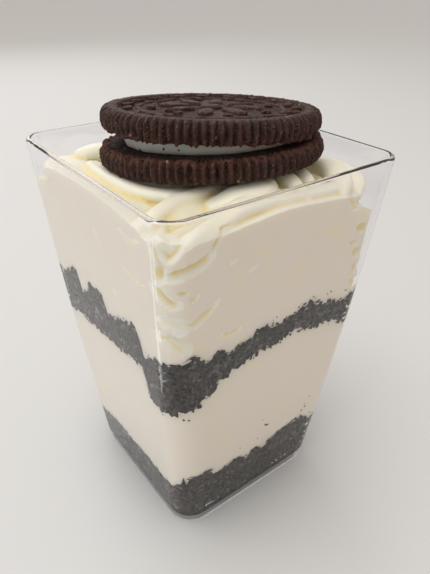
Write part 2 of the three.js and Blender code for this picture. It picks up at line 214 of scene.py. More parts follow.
# %% Lamps and surround
def add_lamp(name, place, width, power, colour=(1, 1, 1)):
    """A square soft lamp that points at the middle of the cup."""
    lamp_data = bpy.data.lights.new(name, "AREA")
    lamp_data.size = width
    lamp_data.energy = power
    lamp_data.color = colour
    lamp = bpy.data.objects.new(name, lamp_data)
    aim = Vector(place) - Vector((0, 0, 0.06))
    lamp.matrix_world = Matrix.LocRotScale(Vector(place), aim.to_track_quat("Z", "Y"), None)
    bpy.context.scene.collection.objects.link(lamp)


def add_card(name, place, size, turn, brightness):
    """A card that lies on the floor and shines up, unseen by the camera itself."""
    card_data = bpy.data.lights.new(name, "AREA")
    card_data.shape = "RECTANGLE"
    card_data.size, card_data.size_y = size[0] * MM, size[1] * MM
    card_data.energy = brightness * math.pi * card_data.size * card_data.size_y
    card = bpy.data.objects.new(name, card_data)
    card.matrix_world = (
        Matrix.Translation((place[0] * MM, place[1] * MM, MM))
        @ Matrix.Rotation(math.radians(turn), 4, "Z") @ Matrix.Rotation(math.pi, 4, "X")
    )
    card.visible_camera = False
    bpy.context.scene.collection.objects.link(card)


add_lamp("key lamp", (-0.2, 0.05, 0.68), 0.45, 1.55, (1, 0.99, 0.95))
add_lamp("left lamp", (-0.55, -0.05, 0.14), 0.3, 0.37, (0.57, 0.81, 1))
add_card("corner card", (-85, 37), (86, 14), -46, 1.4)
add_lamp("back lamp", (0.12, 0.6, 0.42), 0.4, 0.8, (0.97, 0.98, 1))
world = bpy.data.worlds.new("surround")
world.use_nodes = True
background = world.node_tree.nodes["Background"]
background.inputs["Color"].default_value = (1, 0.93, 0.84, 1)
background.inputs["Strength"].default_value = 0.68
bpy.context.scene.world = world
bpy.context.scene.view_settings.view_transform = "Standard"
bpy.context.scene.cycles.use_denoising = True
print("lamps and surround set")

# %% [markdown]
# ## The cup's form
#
# The cup is a square with round corners that grows towards the rim, and its walls bow out a
# little. Every layer touches the inside of this form, so its half width and corner radius are
# functions of the height, and all the pieces ask them.

# %% Half width and corners at a height
CUP_TOP, CUP_BASE, CUP_HEIGHT = 56.0, 42.2, 85.0
RIM_CORNER, BASE_CORNER = 4.5, 6.0
BULGE = 0.5
WALL = 1.1
FLOOR_TOP = 3.4
CUP_POINTS, CUP_ARC = 112, 0.5  # points in a ring, and the share of them round the corners


def cup_half(height):
    share = height / CUP_HEIGHT
    return mix(CUP_BASE, CUP_TOP, share) / 2 + BULGE * math.sin(math.pi * share)


def cup_corner(height):
    return mix(BASE_CORNER, RIM_CORNER, height / CUP_HEIGHT)


def outline_point(number, count, half, corner, arc_share, crowded=False):
    """One point of a rounded square, counted anticlockwise. arc_share of them lie round the
    corners; crowded draws the others towards the corners, so that shading stays even there."""
    side, part = divmod(4 * number / count, 1)
    straight = half - corner
    if part < 1 - arc_share:
        along = 2 * part / (1 - arc_share) - 1
        along = math.sin(along * math.pi / 2) if crowded else along
        point = Vector((straight * along, -half))
    else:
        angle = math.pi / 2 * (part - 1) / arc_share
        point = Vector((straight + corner * math.cos(angle), -straight + corner * math.sin(angle)))
    return Matrix.Rotation(side * math.pi / 2, 2) @ point


def cup_ring(inset, height):
    half, corner = cup_half(height) - inset, max(cup_corner(height) - inset, 1)
    points = [outline_point(number, CUP_POINTS, half, corner, CUP_ARC, True)
              for number in range(CUP_POINTS)]
    return [(point.x, point.y, height) for point in points]


# %% [markdown]
# ## Clear cup
#
# The real cup is moulded in one piece: thin walls, a rounded lip, a thick floor and a foot ring
# round a shallow recess. It replaces the faceted solid, because a clear wall shows every facet as
# a line. The rings run from the recess under the cup, up the outside, over the lip and down
# the inside.

# %% Model the cup
EDGE = 0.5  # rounding of the lip and the foot
HOLD = 0.12  # a ring this close to a rounding holds the flat wall's shading straight
FOOT_RING, FOOT_DEPTH = 2.6, 1.8
FILLET = 1.8  # between the wall and the floor
WALL_LEVELS = 14
TURNS = [math.radians(angle) for angle in (0, 18, 36, 54, 72, 90)]

lip = CUP_HEIGHT - EDGE
outside = [EDGE + HOLD] + [mix(EDGE, lip, step / WALL_LEVELS) for step in range(1, WALL_LEVELS)]
outside.append(lip - HOLD)
profile = [(FOOT_RING + 3, FOOT_DEPTH), (FOOT_RING + HOLD, FOOT_DEPTH), (FOOT_RING, FOOT_DEPTH),
           (FOOT_RING - 0.3, 0), (FOOT_RING - 0.5, 0)]
profile += [(EDGE * (1 - math.sin(turn)), EDGE * (1 - math.cos(turn))) for turn in TURNS]
profile += [(0, height) for height in outside]
profile += [(EDGE * (1 - math.cos(turn)), lip + EDGE * math.sin(turn)) for turn in TURNS]
profile += [(WALL - EDGE * (1 - math.sin(turn)), lip + EDGE * math.cos(turn))
            for turn in TURNS[:-1]]
profile += [(WALL, height) for height in [lip] + outside[::-1] if height > FLOOR_TOP + FILLET + 1]
profile += [(WALL, FLOOR_TOP + FILLET + HOLD)]
profile += [(WALL + FILLET * (1 - math.cos(turn)), FLOOR_TOP + FILLET * (1 - math.sin(turn)))
            for turn in TURNS]
profile.append((WALL + FILLET + HOLD, FLOOR_TOP))
clear_cup = stack_rings("clear_cup", [cup_ring(inset, height) for inset, height in profile])
smooth(clear_cup, 50)

# %% [markdown]
# ## Where the layers meet
#
# The bands meet the wall along wavy lines, and these lines are what one sees of them. Each
# line is a list of a few heights, measured along the two faces that show, and carried on round
# the back. Places round the cup are counted in sides: 0 to 1 is the right face, which looks
# towards -Y, and 3 to 4 the left face, which looks towards -X.

# %% Lines between the layers
def place_round(x, y):
    reach = max(abs(x), abs(y))
    for side in range(4):
        if -y >= reach:
            return side + (x / reach + 1) / 2
        x, y = y, -x  # a quarter turn brings the next side here


DRIFT, LIFT = 0.9, 1.15  # the clear wall bends the view, so that lines look this much off


def line_round(right_face, hidden, left_face):
    """Stops (place, height) round the cup, from heights along x, by place and along y."""
    stops = [(((x - DRIFT) / (cup_half(z) - WALL) + 1) / 2, z + LIFT) for x, z in right_face]
    stops += hidden
    stops += [(3 + (1 - (y - DRIFT) / (cup_half(z) - WALL)) / 2, z + LIFT) for y, z in left_face]
    return stops


def line_height(stops, place):
    for (before, low), (after, high) in zip([(stops[-1][0] - 4, stops[-1][1])] + stops,
                                            stops + [(stops[0][0] + 4, stops[0][1])]):
        if before <= place <= after:
            return mix(low, high, ease(place, before, after))
    return stops[0][1]


CRUMB_BASE_TOP = line_round(
    [(-19.5, 18.6), (-15.2, 18.4), (-12.9, 15.4), (-5.5, 16.3), (-3.4, 14.2), (-0.8, 16.3),
     (2.4, 13.9), (5, 16), (7.7, 17.5), (14.9, 17.4), (20.5, 14.6)],
    [(1.2, 15.8), (1.45, 17.4), (1.8, 14.8), (2.3, 13.4), (2.7, 14.6), (2.95, 11.4)],
    [(19.5, 10.3), (10.4, 12.2), (1.7, 12.7), (-5.8, 13.7), (-16.3, 13.5), (-21, 15.5)],
)
CRUMB_MIDDLE_BOTTOM = line_round(
    [(-24.4, 40.6), (-23.3, 41.5), (-19.6, 41.3), (-16.8, 43.3), (-12.8, 46.4), (-9.6, 47.7),
     (0, 49.1), (4.8, 49.7), (15, 48), (24, 44.8)],
    [(1.2, 46.2), (1.7, 43.8), (2.05, 47.2), (2.4, 48.2), (2.8, 46.2)],
    [(23.2, 43.2), (13.8, 44.5), (5, 45.3), (-2.9, 46), (-10.3, 47.6), (-13.6, 48), (-14.6, 41.2),
     (-16, 39.8), (-20.5, 40.2)],
)
CRUMB_MIDDLE_TOP = line_round(
    [(-23.6, 54.6), (-20, 55.5), (-16, 52.9), (-15, 54.7), (-12, 52.8), (-6.4, 53.6), (-5.2, 55.8),
     (0, 54.4), (9, 56.2), (13.4, 54.4), (20, 52.3), (24.4, 53.5)],
    [(1.1, 54.2), (1.35, 56.4), (1.75, 52.8), (2, 55.2), (2.25, 56.8), (2.65, 53.2), (2.95, 54.6)],
    [(21, 54.3), (12.8, 57.8), (11.6, 53), (4.5, 57.9), (0.4, 57.7), (-0.9, 53.5), (-8, 56.2),
     (-12.6, 58.1), (-13.6, 54.9), (-14.8, 51.7), (-19, 53.9)],
)
for line in (CRUMB_BASE_TOP, CRUMB_MIDDLE_BOTTOM, CRUMB_MIDDLE_TOP):
    print("a line between layers with", len(line), "stops")


# %% [markdown]
# ## Bands of crumbs
#
# Crushed biscuit is pressed against the wall. Its face there is full of pits between the grains,
# and its edges are ragged. The band is a stack of rings whose corners lie 0.4 mm apart, about half
# a grain. Two Displace modifiers then push in pits: a cell pattern for the grains and a cloud
# pattern for finer dust. The band reaches a little into the wall, so no air shows where it
# touches, and a little further than the cream does, so that grains cover the cream's edge.

# %% Model the bands of crumbs
CRUMB_INTO_WALL, INTO_FLOOR = 0.28, 0.15
BAND_POINTS = 560
BAND_ARC = 0.13
BAND_ROWS = 30
BAND_INNER = 0.93  # the closing rings' share of the width
RAG = 0.55  # how far the ragged edge strays


def wall_ring(height_at, into_wall, count=BAND_POINTS, share=1.0, crowded=False, relief=None):
    """A ring that touches the inside of the wall, its height given by a function of (x, y).
    `relief` says how far it stands off the wall instead."""
    ring = []
    for number in range(count):
        guess = outline_point(number, count, 25, 4, BAND_ARC, crowded)
        height = height_at(guess.x, guess.y)
        half = cup_half(height) - WALL + into_wall
        corner = cup_corner(height) - WALL + into_wall
        point = outline_point(number, count, half, corner, BAND_ARC, crowded)
        if relief:
            depth = relief(point.x, point.y, height)
            point = outline_point(number, count, half - depth, corner - depth, BAND_ARC, crowded)
        ring.append((*point * share, height))
    return ring


def ragged(x, y, salt):
    """A small uneven offset: steps of about a grain on top of a longer wander."""
    return RAG * (uneven(x, y, 1.1, salt) + 0.8 * uneven(x, y, 0.35, salt + 9))


def crumb_band(name, foot, bottom_at, top_at, salt, rag_below=1):
    """A band between two heights, on the rings that close it below."""
    rings = []
    for row in range(BAND_ROWS + 1):

        def height_at(x, y):
            low = bottom_at(x, y) + rag_below * ragged(x, y, salt)
            high = top_at(x, y) + ragged(x, y, salt + 30)
            return mix(low, high, row / BAND_ROWS)

        rings.append(wall_ring(height_at, CRUMB_INTO_WALL))
    return stack_rings(name, foot + rings + [wall_ring(top_at, CRUMB_INTO_WALL, share=BAND_INNER)])


def texture(name, kind, size, **settings):
    made = bpy.data.textures.new(name, kind)
    made.noise_scale = size * MM
    for key, value in settings.items():
        setattr(made, key, value)
    return made


grain_cells = texture("grain cells", "VORONOI", 0.8, contrast=2.6, intensity=0.42)
grain_dust = texture("grain dust", "CLOUDS", 0.45)


def line_at(stops):
    return lambda x, y: line_height(stops, place_round(x, y))


# the lower band follows the cup's fillet down to its floor
fillet_foot = [
    wall_ring(lambda x, y: FLOOR_TOP - INTO_FLOOR + FILLET * (1 - math.sin(turn)),
              CRUMB_INTO_WALL - FILLET * (1 - math.cos(turn)))
    for turn in TURNS[::-1]
]
crumbs_base = crumb_band("crumbs_base", fillet_foot, lambda x, y: FLOOR_TOP + FILLET + 0.3,
                         line_at(CRUMB_BASE_TOP), 3, 0)
middle_foot = [wall_ring(line_at(CRUMB_MIDDLE_BOTTOM), CRUMB_INTO_WALL, share=BAND_INNER)]
crumbs_middle = crumb_band("crumbs_middle", middle_foot, line_at(CRUMB_MIDDLE_BOTTOM),
                           line_at(CRUMB_MIDDLE_TOP), 5)
for band in (crumbs_base, crumbs_middle):
    displace(band, grain_cells, -0.8, 0)
    displace(band, grain_dust, 0.2)
    smooth(band, 60)

# %% [markdown]
# ## Lower cream
#
# Between the two bands the cream fills the cup from wall to wall, so what shows is the smooth
# face that the plastic gives it. It is a plain stack of rings that reaches a little under the
# crumbs on both sides.

# %% Model the lower cream
CREAM_INTO_WALL = 0.1
OVERLAP = 0.5  # how far the cream reaches in behind the crumbs' ragged edges
CREAM_POINTS = 280

lower_line, upper_line = line_at(CRUMB_BASE_TOP), line_at(CRUMB_MIDDLE_BOTTOM)
# shares of the height and of the width
levels = [(0, 0.9)] + [(step / 12, 1) for step in range(13)] + [(1, 0.9)]
lower_cream = stack_rings("lower_cream", [
    wall_ring(lambda x, y: mix(lower_line(x, y) - OVERLAP, upper_line(x, y) + OVERLAP, rise),
              CREAM_INTO_WALL, CREAM_POINTS, share)
    for rise, share in levels
])
smooth(lower_cream, 50)

# %% [markdown]
# ## Upper cream
#
# This is the part that shows the maker's hand: broad ribbons of cream laid by a spatula, each
# rolling over the next. Sculpting isn't possible in a script, and a height map can't overhang. So
# each ribbon is a Bezier curve with a width and a thickness, all of them are joined to a block,
# and a voxel Remesh melts them into one skin. The Smooth modifier then softens the seams. Last of
# all, an Intersect with the cup's inner form presses the cream against the plastic.

# %% Lay the ribbons
def ribbon(name, width, thickness, knots):
    """A rounded strip through knots (x, y, z, size, tilt). A tilt in degrees lifts its left side,
    and may be left out."""
    curve = add(bpy.ops.curve.primitive_bezier_curve_add)
    curve.name = name
    spline = curve.data.splines[0]
    spline.bezier_points.add(len(knots) - len(spline.bezier_points))
    for point, knot in zip(spline.bezier_points, knots):
        x, y, z, size, tilt = (*knot, 0)[:5]
        point.co = Vector((x, y, z)) * MM
        point.handle_left_type = point.handle_right_type = "AUTO"
        point.radius = size
        point.tilt = math.radians(90 + tilt)
    curve.data.twist_mode = "Z_UP"
    curve.data.resolution_u = 14
    curve.data.extrude = (width - thickness) / 2 * MM
    curve.data.bevel_depth = thickness / 2 * MM
    curve.data.bevel_resolution = 4
    curve.data.use_fill_caps = True
    bpy.ops.object.convert(target="MESH")
    return bpy.context.object


RIBBONS = [
    # a broad sheet along the left wall, high at the wall and falling inwards
    (9.6, 2.6, [(-13, 27, 77, 0.6), (-20, 22, 78.6, 0.9, -6), (-23.4, 12, 79.8, 1, -12),
        (-24, 2, 80.5, 1, -14), (-24.2, -8, 80.6, 1, -14), (-25, -17, 80.3, 0.9, -10),
        (-27.6, -22, 79.6, 0.6)]),
    # a narrow fold on its inner side
    (4.2, 1.9, [(-17.5, 16, 80, 0.7, -10), (-19.6, 6, 81.2, 1, -14), (-20, -2, 81.7, 1, -14),
        (-18.8, -8.5, 81.8, 1, -10), (-15.2, -12.6, 81.7, 1), (-9, -13.5, 81.5, 0.7)]),
    # the pale lobe that the biscuit presses down
    (7, 2.6, [(-8, 15, 80.2, 0.7), (-14.5, 9, 80.9, 1, 6), (-16.2, 0.5, 81.2, 1, 6),
        (-13.6, -5.8, 81.2, 1, 6), (-6, -8, 81.2, 0.8)]),
    # a curl at the back end of the sheet
    (5, 3, [(-15, 27.5, 77.4, 0.6), (-15.4, 23.6, 79.8, 1), (-12, 20.5, 80.6, 1),
        (-8, 19.5, 80.2, 0.6)]),
    # the ridge from the near end of the left wall to the biscuit
    (3.2, 2.2, [(-28, -19.6, 80, 0.9), (-24.6, -18.2, 81.1, 0.9), (-20.4, -16.2, 81.5, 1),
        (-16.4, -14.9, 81.7, 1), (-12, -14.5, 81.8, 1), (-6, -13, 81.6, 0.7)]),
    # the slope from the ridge down to the near corner
    (9, 2.2, [(-27.5, -24.6, 76.6, 0.9, 16), (-22.5, -21.6, 77.8, 1, 28),
        (-17, -19.4, 79.2, 1, 28), (-10, -18, 80.2, 0.9, 16), (-4, -17, 80.6, 0.7, 8)]),
    # the lower layer of the fold along the right wall
    (3.4, 2.6, [(-17.6, -25.2, 77.9, 0.8), (-15.8, -25.5, 78.9, 1), (-12.7, -25.6, 79.3, 1),
        (-8.5, -25.6, 79.6, 1), (-4.1, -25.6, 79.9, 1), (0.6, -25.6, 79.8, 1),
        (5.7, -25.6, 79.3, 1), (11.2, -25.5, 78.7, 1), (15.5, -24.9, 78.2, 0.8),
        (19.5, -23.6, 77.7, 0.6)]),
    # its upper layer, which ends as a lobe that hangs down beside the near corner
    (4.6, 3, [(-25.7, -22.4, 81, 0.35, 80), (-25.5, -23.6, 79.9, 0.62, 80),
        (-25, -24.5, 78.5, 0.84, 78), (-24.2, -25.2, 77.7, 0.9, 74),
        (-22.5, -25.5, 78.2, 0.98, 70), (-20.7, -25.4, 79, 1.04, 64), (-18.8, -25.1, 79.7, 1, 52),
        (-16.6, -24.6, 80.6, 0.85, 34), (-14, -24.1, 81.2, 0.76, 22), (-11, -23.8, 81.9, 0.76, 16),
        (-6.5, -23.6, 82, 0.76, 14), (-1.8, -23.5, 81.6, 0.76, 12), (4, -23.6, 81.2, 0.74, 10),
        (12, -23.5, 80.5, 0.7, 10), (18.4, -22.2, 79.5, 0.5)]),
    # a fill under that lobe, between it and the slope
    (7, 5, [(-27.5, -24, 75.8, 0.8), (-24.6, -23.7, 78, 1), (-21.5, -22.9, 77.8, 1),
        (-16, -22, 78, 1), (-8, -21, 78.8, 0.8)]),
    # lobes and strands between that fold and the biscuit
    (6.2, 3.4, [(-12.5, -18.2, 80.6, 0.6), (-7.8, -20, 81.8, 1), (-3.4, -20.6, 82.1, 1),
        (-0.4, -18, 82, 0.9), (-1, -13, 81.6, 0.7)]),
    (3.6, 3.2, [(3.6, -25, 80.4, 0.7), (4.2, -21.8, 82, 1), (5.2, -17.6, 82.2, 1),
        (6.2, -12, 81.6, 0.7)]),
    (2, 3, [(7.4, -24.6, 80, 0.7), (8.2, -21.2, 81.9, 1), (10, -16.6, 82, 0.9),
        (10.6, -11, 81.4, 0.7)]),
    (5, 3.2, [(12.4, -25, 79.2, 0.7), (15.4, -22.6, 80.7, 1), (18, -18.2, 81.1, 1),
        (18.4, -12, 80.6, 0.8)]),
    (5, 3, [(18.6, -24, 77.4, 0.6), (22.2, -20.4, 78.9, 1), (23.6, -14, 79.4, 1),
        (22.6, -6, 79.4, 0.7)]),
    # along the wall towards +X
    (6.4, 2.8, [(22.6, -11, 77, 0.6), (24, -4, 78.4, 1, 12), (23.8, 5, 78.8, 1, 12),
        (19, 16, 77.6, 0.6)]),
    # a row of short folds along the back
    (5.6, 3, [(15, 22.5, 76.8, 0.6), (17.8, 17.6, 78.4, 1), (15.4, 11, 79, 0.7)]),
    (5.6, 3, [(7, 25, 77, 0.7), (11.6, 21.8, 78.9, 1), (10.4, 14, 79.4, 0.7)]),
    (5.6, 3, [(-2, 25.4, 77.2, 0.7), (3.4, 23, 79.2, 1), (3.8, 15, 79.6, 0.7)]),
    (5.6, 3, [(-11, 25, 77.4, 0.7), (-5.4, 23, 79.4, 1), (-3.6, 15.5, 79.8, 0.7)]),
]
ribbons = [ribbon("ribbon%d" % number, *strip) for number, strip in enumerate(RIBBONS)]
print("laid", len(ribbons), "ribbons")

# %% [markdown]
# The block under the ribbons ends in a low heap: level under the biscuit, and falling to the
# wall. It is wider than the cup, because the last cut presses it back to the true form.

# %% Model the block under the ribbons
CREAM_TOP = [
    (0.04, 76.6), (0.07, 77.6), (0.13, 78), (0.16, 79), (0.19, 80.2), (0.33, 80.9), (0.5, 81.2),
    (0.72, 80), (0.8, 79.4), (0.87, 76.6), (0.96, 74.6), (1.2, 75.8), (1.6, 77.2), (2, 75.8),
    (2.5, 77), (2.95, 76.4), (3.1, 77.4), (3.27, 79.9), (3.42, 81), (3.7, 81.2), (3.86, 80.6),
    (3.95, 77.6),
]
HEAP_TOP = 82.0
BLOCK_FOOT = 44.0
BLOCK_SPARE = 1.2
BLOCK_POINTS = 180
HEAP_FALL = (19, 26)  # it falls to the wall between these distances from the middle
EDGE_DIP = 1.6  # how far its very edge lies lower still
HEAP_SHARES = (1, 0.95, 0.9, 0.84, 0.77, 0.7, 0.6, 0.45, 0.25)


def heap_ring(share):
    """One ring of the heap's top, at a share of the way out."""
    ring = []
    for x, y, height in wall_ring(line_at(CREAM_TOP), BLOCK_SPARE, BLOCK_POINTS):
        fall = ease(math.hypot(x, y) * share, *HEAP_FALL)
        dip = EDGE_DIP * fall * ease(1 - share, 0, 0.1)
        ring.append((x * share, y * share, mix(HEAP_TOP, height, fall) - dip))
    return ring


block_rings = [wall_ring(lambda x, y: BLOCK_FOOT, BLOCK_SPARE, BLOCK_POINTS)]
block = stack_rings("block", block_rings + [heap_ring(share) for share in HEAP_SHARES])
cream_mass = join("upper_cream", [block] + ribbons)

# %% Melt them into one skin
VOXEL = 0.32
apply_modifier(cream_mass, "REMESH", mode="VOXEL", voxel_size=VOXEL * MM, use_smooth_shade=True)
apply_modifier(cream_mass, "SMOOTH", factor=0.5, iterations=4)
count_faces(cream_mass)

# %% [markdown]
# Where the cream didn't quite reach the plastic, it left hollows and creases. Cutting them with
# small solids gives each one the same hard edge. So the form that presses the cream is given a
# relief instead, and `stand_off` says how far it is drawn in at each place. A crease is steep on
# the side of the fold that hangs over it, and runs out slowly on the other. A lip is the rounded
# upper edge of a fold. Places run along the wall from the middle of the right face and on round
# the near corner, as on a label that is peeled off.

# %% Depth of hollows, creases and lips
# along, height, half length, half width, depth, slant in degrees; all are on the right face
HOLLOWS = [
    (-27.2, 75.2, 1.3, 2.3, 1.1, 0), (-23.5, 71.6, 1.3, 0.5, 0.6, -4),
    (-24.6, 65.2, 3.2, 1.5, 0.5, -20), (-24.6, 60.4, 4.2, 1.2, 0.7, -42),
    (15.8, 78, 2.6, 1.6, 0.8, -45),
    # the far corner, where the cream leaves the wall, and its bites
    (27, 68, 5.6, 17, 2.5, 0), (24, 78.4, 5.6, 2.6, 2.6, -20), (20.2, 71.3, 2.3, 1.2, 1.1, -10),
    (18, 68.3, 1.6, 0.6, 0.5, -12), (20.6, 65.6, 2.2, 1.2, 1.1, -8),
    (21.4, 61.4, 2.1, 1.3, 1, -12), (21.9, 57.6, 2.2, 1.2, 1, -8), (25.5, 63.6, 2.8, 1.3, 1.2, 10),
    (26, 69.2, 2.8, 1.2, 1.2, 12), (26.2, 74.6, 3, 1.4, 1.2, 8),
]
# for each face: depth, width on the left of the line, width on its right, places (along, height)
CREASES = {
    "right": [
        (1.5, 0.5, 2.1, [(-26.2, 75.3), (-25, 75.6), (-23.9, 75.9), (-22.7, 76.2), (-21.3, 76.4),
            (-19.9, 76.9), (-18.8, 77.6)]),
        (1.2, 0.5, 1, [(-28.5, 80.6), (-28.2, 79.6), (-27.8, 78.5), (-27.2, 77.4), (-26.5, 76.4),
            (-25.7, 75.4)]),
        (1.2, 1.1, 1.3, [(-28.2, 72.6), (-27.3, 71.6), (-26.6, 70.6), (-25.7, 69.8), (-24.8, 69.3),
            (-24, 69.3)]),
        (0.35, 0.4, 0.8, [(-22.6, 69.4), (-21.8, 69.8), (-20.6, 70.2)]),
        (0.4, 0.5, 1.8, [(-24.6, 62.8), (-22.8, 64.4), (-21, 64.7), (-19.4, 65.7), (-18.2, 66.7),
            (-16.8, 67.5)]),
        (0.7, 0.5, 0.5, [(14.9, 77.8), (16, 76.8), (17.4, 76.1)]),
        (0.8, 0.5, 1.4, [(-27.4, 62), (-26.4, 61.7), (-25, 62.2), (-23.5, 61.3), (-21.6, 59.3)]),
        (0.7, 0.45, 0.4, [(-16.9, 80.2), (-17.7, 79), (-18, 77.8)]),
        (0.3, 0.4, 1.1, [(-15.1, 59.3), (-13, 59), (-10.4, 58.9)]),
        (0.12, 0.4, 0.7, [(-14.4, 74.2), (-12.8, 74.7)]),
        (0.12, 0.4, 0.7, [(-10.6, 70.8), (-9, 71.6), (-7.8, 71.7)]),
        # two on the far side, as guesses
        (0.4, 0.5, 1.3, [(38, 66.5), (42, 68.4), (47, 68.2)]),
        (0.35, 0.5, 1.2, [(57, 71.6), (60, 70.4), (64.5, 70.6)]),
    ],
    "left": [
        (0.16, 0.9, 0.35, [(-12.6, 71.6), (-14.6, 70.6), (-16.6, 70.9), (-18.3, 70.4),
            (-20.4, 71.1)]),
        (0.12, 0.7, 0.4, [(-2.4, 75.8), (-3.3, 72.7), (-4.6, 71.3)]),
        (0.12, 1.2, 0.4, [(-12.9, 79.2), (-15, 78.2), (-16.9, 78), (-20.6, 79.4)]),
        (0.1, 0.7, 0.4, [(-6.4, 64), (-7.6, 62.6)]),
    ],
}
# upper edges on the right face: the length of the fade-in, places (along, height)
LIPS = [
    (2.4, [(-28.6, 79.6), (-27, 78), (-25.8, 77), (-25, 77.2), (-24.3, 77.8), (-23.4, 78.9),
        (-22.1, 80.1), (-20.7, 80.9), (-18.2, 81.1)]),
    (0.8, [(-17, 79.2), (-15.8, 79.8), (-12.7, 80.1), (-8.5, 80.4), (-4.1, 80.7), (0.6, 80.6),
        (5.7, 80.1), (11.2, 79.5), (15, 79.2)]),
]
LIP_RADIUS = 1.1
DEEPEST = 2.7  # less than the corner's own radius
NEAR = 4  # a crease is measured only within this distance of one of its places


def along_wall(x, y, height):
    """The distance along the wall of a place on the ring at this height."""
    corner = cup_corner(height) - WALL
    straight = cup_half(height) - WALL - corner
    if y < -straight and abs(x) <= straight:
        return x
    if y < -straight:
        turn = math.atan2(abs(x) - straight, -y - straight)
        return math.copysign(straight + corner * turn, x)
    return math.copysign(2 * straight + corner * math.pi / 2 + y, x)


def wall_places(face, places):
    """Places on a face, counted from the middle of the right face."""
    if face == "right":
        return [Vector(place) for place in places]
    return [Vector((along_wall(-cup_half(height), along, height), height))
            for along, height in places]


def hollow_depth(spot, middle, length, width, depth, slant):
    gap = Matrix.Rotation(-math.radians(slant), 2) @ (spot - middle)
    return depth * max(1 - (gap.x / length) ** 2 - (gap.y / width) ** 2, 0)


def crease_depth(spot, depth, left_width, right_width, places):
    """The depth of one crease, which tapers towards both ends."""
    deepest = 0
    for number, (start, end) in enumerate(zip(places, places[1:])):
        line = end - start
        share = min(max((spot - start).dot(line) / line.length_squared, 0), 1)
        gap = spot - start - line * share
        width = left_width if line.x * gap.y > line.y * gap.x else right_width
        travelled = (number + share) / (len(places) - 1)
        taper = min(1, 0.2 + 3 * travelled, 0.2 + 3 * (1 - travelled))
        deepest = max(deepest, depth * taper * (1 - ease(gap.length, 0, width)))
    return deepest


def lip_depth(spot, fade_in, places):
    """The rounded edge above a line of contact, faded in at both ends of the line."""
    if not places[0].x < spot.x < places[-1].x:
        return 0
    line = np.interp(spot.x, [place.x for place in places], [place.y for place in places])
    rise = min(max(spot.y - line, 0), LIP_RADIUS)
    fade = ease(spot.x - places[0].x, 0, fade_in) * ease(places[-1].x - spot.x, 0, 0.8)
    return fade * (LIP_RADIUS - math.sqrt(LIP_RADIUS ** 2 - rise ** 2))


hollows = [(Vector((along, height)), *rest) for along, height, *rest in HOLLOWS]
creases = [(*rest, wall_places(face, places))
           for face in CREASES for *rest, places in CREASES[face]]
lips = [(fade_in, wall_places("right", places)) for fade_in, places in LIPS]


def stand_off(x, y, height):
    """How far the cream keeps off the wall at a place."""
    spot = Vector((along_wall(x, y, height), height))
    depths = [hollow_depth(spot, *hollow) for hollow in hollows
              if (spot - hollow[0]).length < max(hollow[1:3])]
    depths += [crease_depth(spot, *crease) for crease in creases
               if any((spot - place).length < NEAR for place in crease[-1])]
    depths += [lip_depth(spot, *entry) for entry in lips]
    return min(max(depths), DEEPEST)


print("hollows, creases and lips:", len(hollows), len(creases), len(lips))

# %% Press the cream against the wall
ROOM_TOP = 84.5
ROOM_ROWS = 72
ROOM_POINTS = 480
crumb_line = line_at(CRUMB_MIDDLE_TOP)


def room_ring(rise):
    return wall_ring(lambda x, y: mix(crumb_line(x, y) - OVERLAP, ROOM_TOP, rise),
                     CREAM_INTO_WALL, ROOM_POINTS, crowded=True, relief=stand_off)


# the rows lie closer together towards the top, where the folds are
rises = [1 - (1 - row / ROOM_ROWS) ** 1.4 for row in range(ROOM_ROWS + 1)]
room = stack_rings("room", [room_ring(rise) for rise in rises])
apply_modifier(cream_mass, "BOOLEAN", operation="INTERSECT", object=room, solver="MANIFOLD")
bpy.data.objects.remove(room)
smooth(cream_mass, 50)

# %% [markdown]
# Cream that the plastic presses is painted greyer than free cream: painted shade, since its faces
# on the walls get less light than the top. Creases are painted yellow, as painted shade, since
# light reaches them only through the cream. Neither can be read from a place alone, so both are
# measured on the mesh and kept with it: `pressed` from the distance to the wall, and `crease`
# from how far a point lies below the average of the points round it.

# %% Measure pressed cream and creases
CREASE_SHADE_ROUNDS = {14: 0.32, 90: 1.0}  # rounds of averaging, and the depth in mm that counts as full
PRESSED_SLACK = 0.04  # cream this close to its place on the wall counts as pressed


def neighbour_average(piece, values, rounds):
    """Averages values (count x 3) along the edges."""
    edges = np.empty(len(piece.data.edges) * 2, dtype=np.int32)
    piece.data.edges.foreach_get("vertices", edges)
    first, second = edges[0::2], edges[1::2]
    degree = np.bincount(edges, minlength=len(values))[:, None] + 1
    for _ in range(rounds):
        total = values.copy()
        for axis in range(3):
            total[:, axis] += np.bincount(first, values[second, axis], len(values))
            total[:, axis] += np.bincount(second, values[first, axis], len(values))
        values = total / degree
    return values


def measure_cream(piece):
    count = len(piece.data.vertices)
    places, normals = np.empty(count * 3), np.empty(count * 3)
    piece.data.vertices.foreach_get("co", places)
    piece.data.vertex_normals.foreach_get("vector", normals)
    places, normals = places.reshape(-1, 3) / MM, normals.reshape(-1, 3)
    # how far each point lies below its neighbours: the mask for the yellow painted shade in
    # creases
    crease_shade = np.zeros(count)
    for rounds, full_depth in CREASE_SHADE_ROUNDS.items():
        below = ((neighbour_average(piece, places, rounds) - places) * normals).sum(1)
        crease_shade += np.clip(below / full_depth, 0, 1)
    height = places[:, 2]
    share = height / CUP_HEIGHT
    half = mix(CUP_BASE, CUP_TOP, share) / 2 + BULGE * np.sin(np.pi * share)
    straight = half - cup_corner(height)
    past = np.abs(places[:, :2]) - straight[:, None]  # how far past the straight of each face
    reach = np.where(past.min(1) > 0, np.hypot(past[:, 0], past[:, 1]), past.max(1))
    wall = cup_corner(height) - WALL + CREAM_INTO_WALL
    # pressed cream is painted greyer: painted shade of its faces on the walls
    pressed = (reach > wall - PRESSED_SLACK).astype(float)
    keep(piece, "pressed", pressed)
    keep(piece, "crease", np.clip(crease_shade, 0, 1))
    print(piece.name, "pressed share", round(float(pressed.mean()), 2))


for piece in (cream_mass, lower_cream):
    measure_cream(piece)

